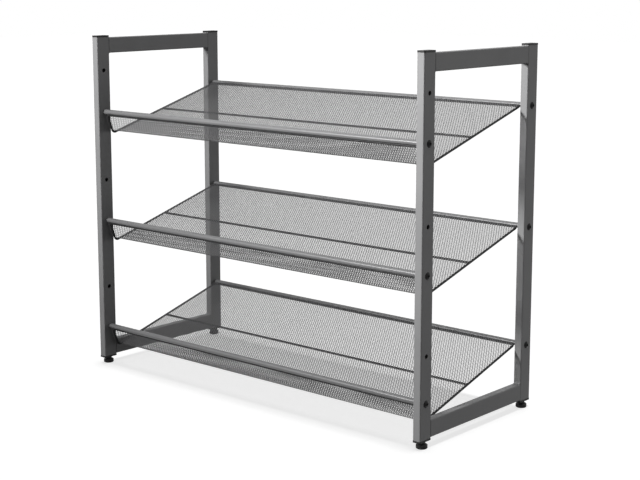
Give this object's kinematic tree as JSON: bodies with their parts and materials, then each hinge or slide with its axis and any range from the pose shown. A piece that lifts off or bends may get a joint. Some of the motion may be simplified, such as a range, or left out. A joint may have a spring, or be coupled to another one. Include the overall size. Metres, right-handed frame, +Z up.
{
  "type": "shoe rack",
  "caption": "Free-standing tiered shoe rack: welded tube side frames, bolted mesh shelves that slope down to a front lip, spare holes to set them level, and levelling feet.",
  "frame": {"origin": "on the floor, under the middle of the rack", "axes": "+X along the rack to the right, +Y from the front lips to the rear, +Z up"},
  "size_m": [0.8064, 0.3258, 0.65],
  "materials": {
    "frame_paint": "satin",
    "shelf_paint": "satin",
    "mesh_paint": "satin",
    "black_plastic": "matte",
    "black_bolts": "satin",
    "zinc_steel": "satin"
  },
  "bodies": {
    "rack": {"front_left_post": "frame_paint", "front_left_cap": "black_plastic", "front_left_plug": "black_plastic", "front_right_post": "frame_paint", "front_right_cap": "black_plastic", "front_right_plug": "black_plastic", "rear_left_post": "frame_paint", "rear_left_cap": "black_plastic", "rear_left_plug": "black_plastic", "rear_right_post": "frame_paint", "rear_right_cap": "black_plastic", "rear_right_plug": "black_plastic", "left_top_rail": "frame_paint", "left_bottom_rail": "frame_paint", "right_top_rail": "frame_paint", "right_bottom_rail": "frame_paint", "foot_nuts": "zinc_steel", "bottom_shelf_front_tube": "shelf_paint", "bottom_shelf_rear_tube": "shelf_paint", "bottom_shelf_floor_mesh": "mesh_paint", "bottom_shelf_lip_mesh": "mesh_paint", "bottom_shelf_edge_wire": "shelf_paint", "bottom_shelf_middle_rod": "shelf_paint", "bottom_shelf_inserts": "zinc_steel", "bottom_shelf_bolts": "black_bolts", "middle_shelf_front_tube": "shelf_paint", "middle_shelf_rear_tube": "shelf_paint", "middle_shelf_floor_mesh": "mesh_paint", "middle_shelf_lip_mesh": "mesh_paint", "middle_shelf_edge_wire": "shelf_paint", "middle_shelf_middle_rod": "shelf_paint", "middle_shelf_inserts": "zinc_steel", "middle_shelf_bolts": "black_bolts", "top_shelf_front_tube": "shelf_paint", "top_shelf_rear_tube": "shelf_paint", "top_shelf_floor_mesh": "mesh_paint", "top_shelf_lip_mesh": "mesh_paint", "top_shelf_edge_wire": "shelf_paint", "top_shelf_middle_rod": "shelf_paint", "top_shelf_inserts": "zinc_steel", "top_shelf_bolts": "black_bolts"},
    "front_left_leveller": {"front_left_foot": "black_plastic", "front_left_stud": "zinc_steel"},
    "front_right_leveller": {"front_right_foot": "black_plastic", "front_right_stud": "zinc_steel"},
    "rear_left_leveller": {"rear_left_foot": "black_plastic", "rear_left_stud": "zinc_steel"},
    "rear_right_leveller": {"rear_right_foot": "black_plastic", "rear_right_stud": "zinc_steel"}
  },
  "joints": [
    {"name": "front_left_foot_screw", "type": "slide", "parent": "rack", "child": "front_left_leveller", "axis": [0, 0, -1], "range_m": [0, 0.01]},
    {"name": "front_right_foot_screw", "type": "slide", "parent": "rack", "child": "front_right_leveller", "axis": [0, 0, -1], "range_m": [0, 0.01]},
    {"name": "rear_left_foot_screw", "type": "slide", "parent": "rack", "child": "rear_left_leveller", "axis": [0, 0, -1], "range_m": [0, 0.01]},
    {"name": "rear_right_foot_screw", "type": "slide", "parent": "rack", "child": "rear_right_leveller", "axis": [0, 0, -1], "range_m": [0, 0.01]}
  ]
}
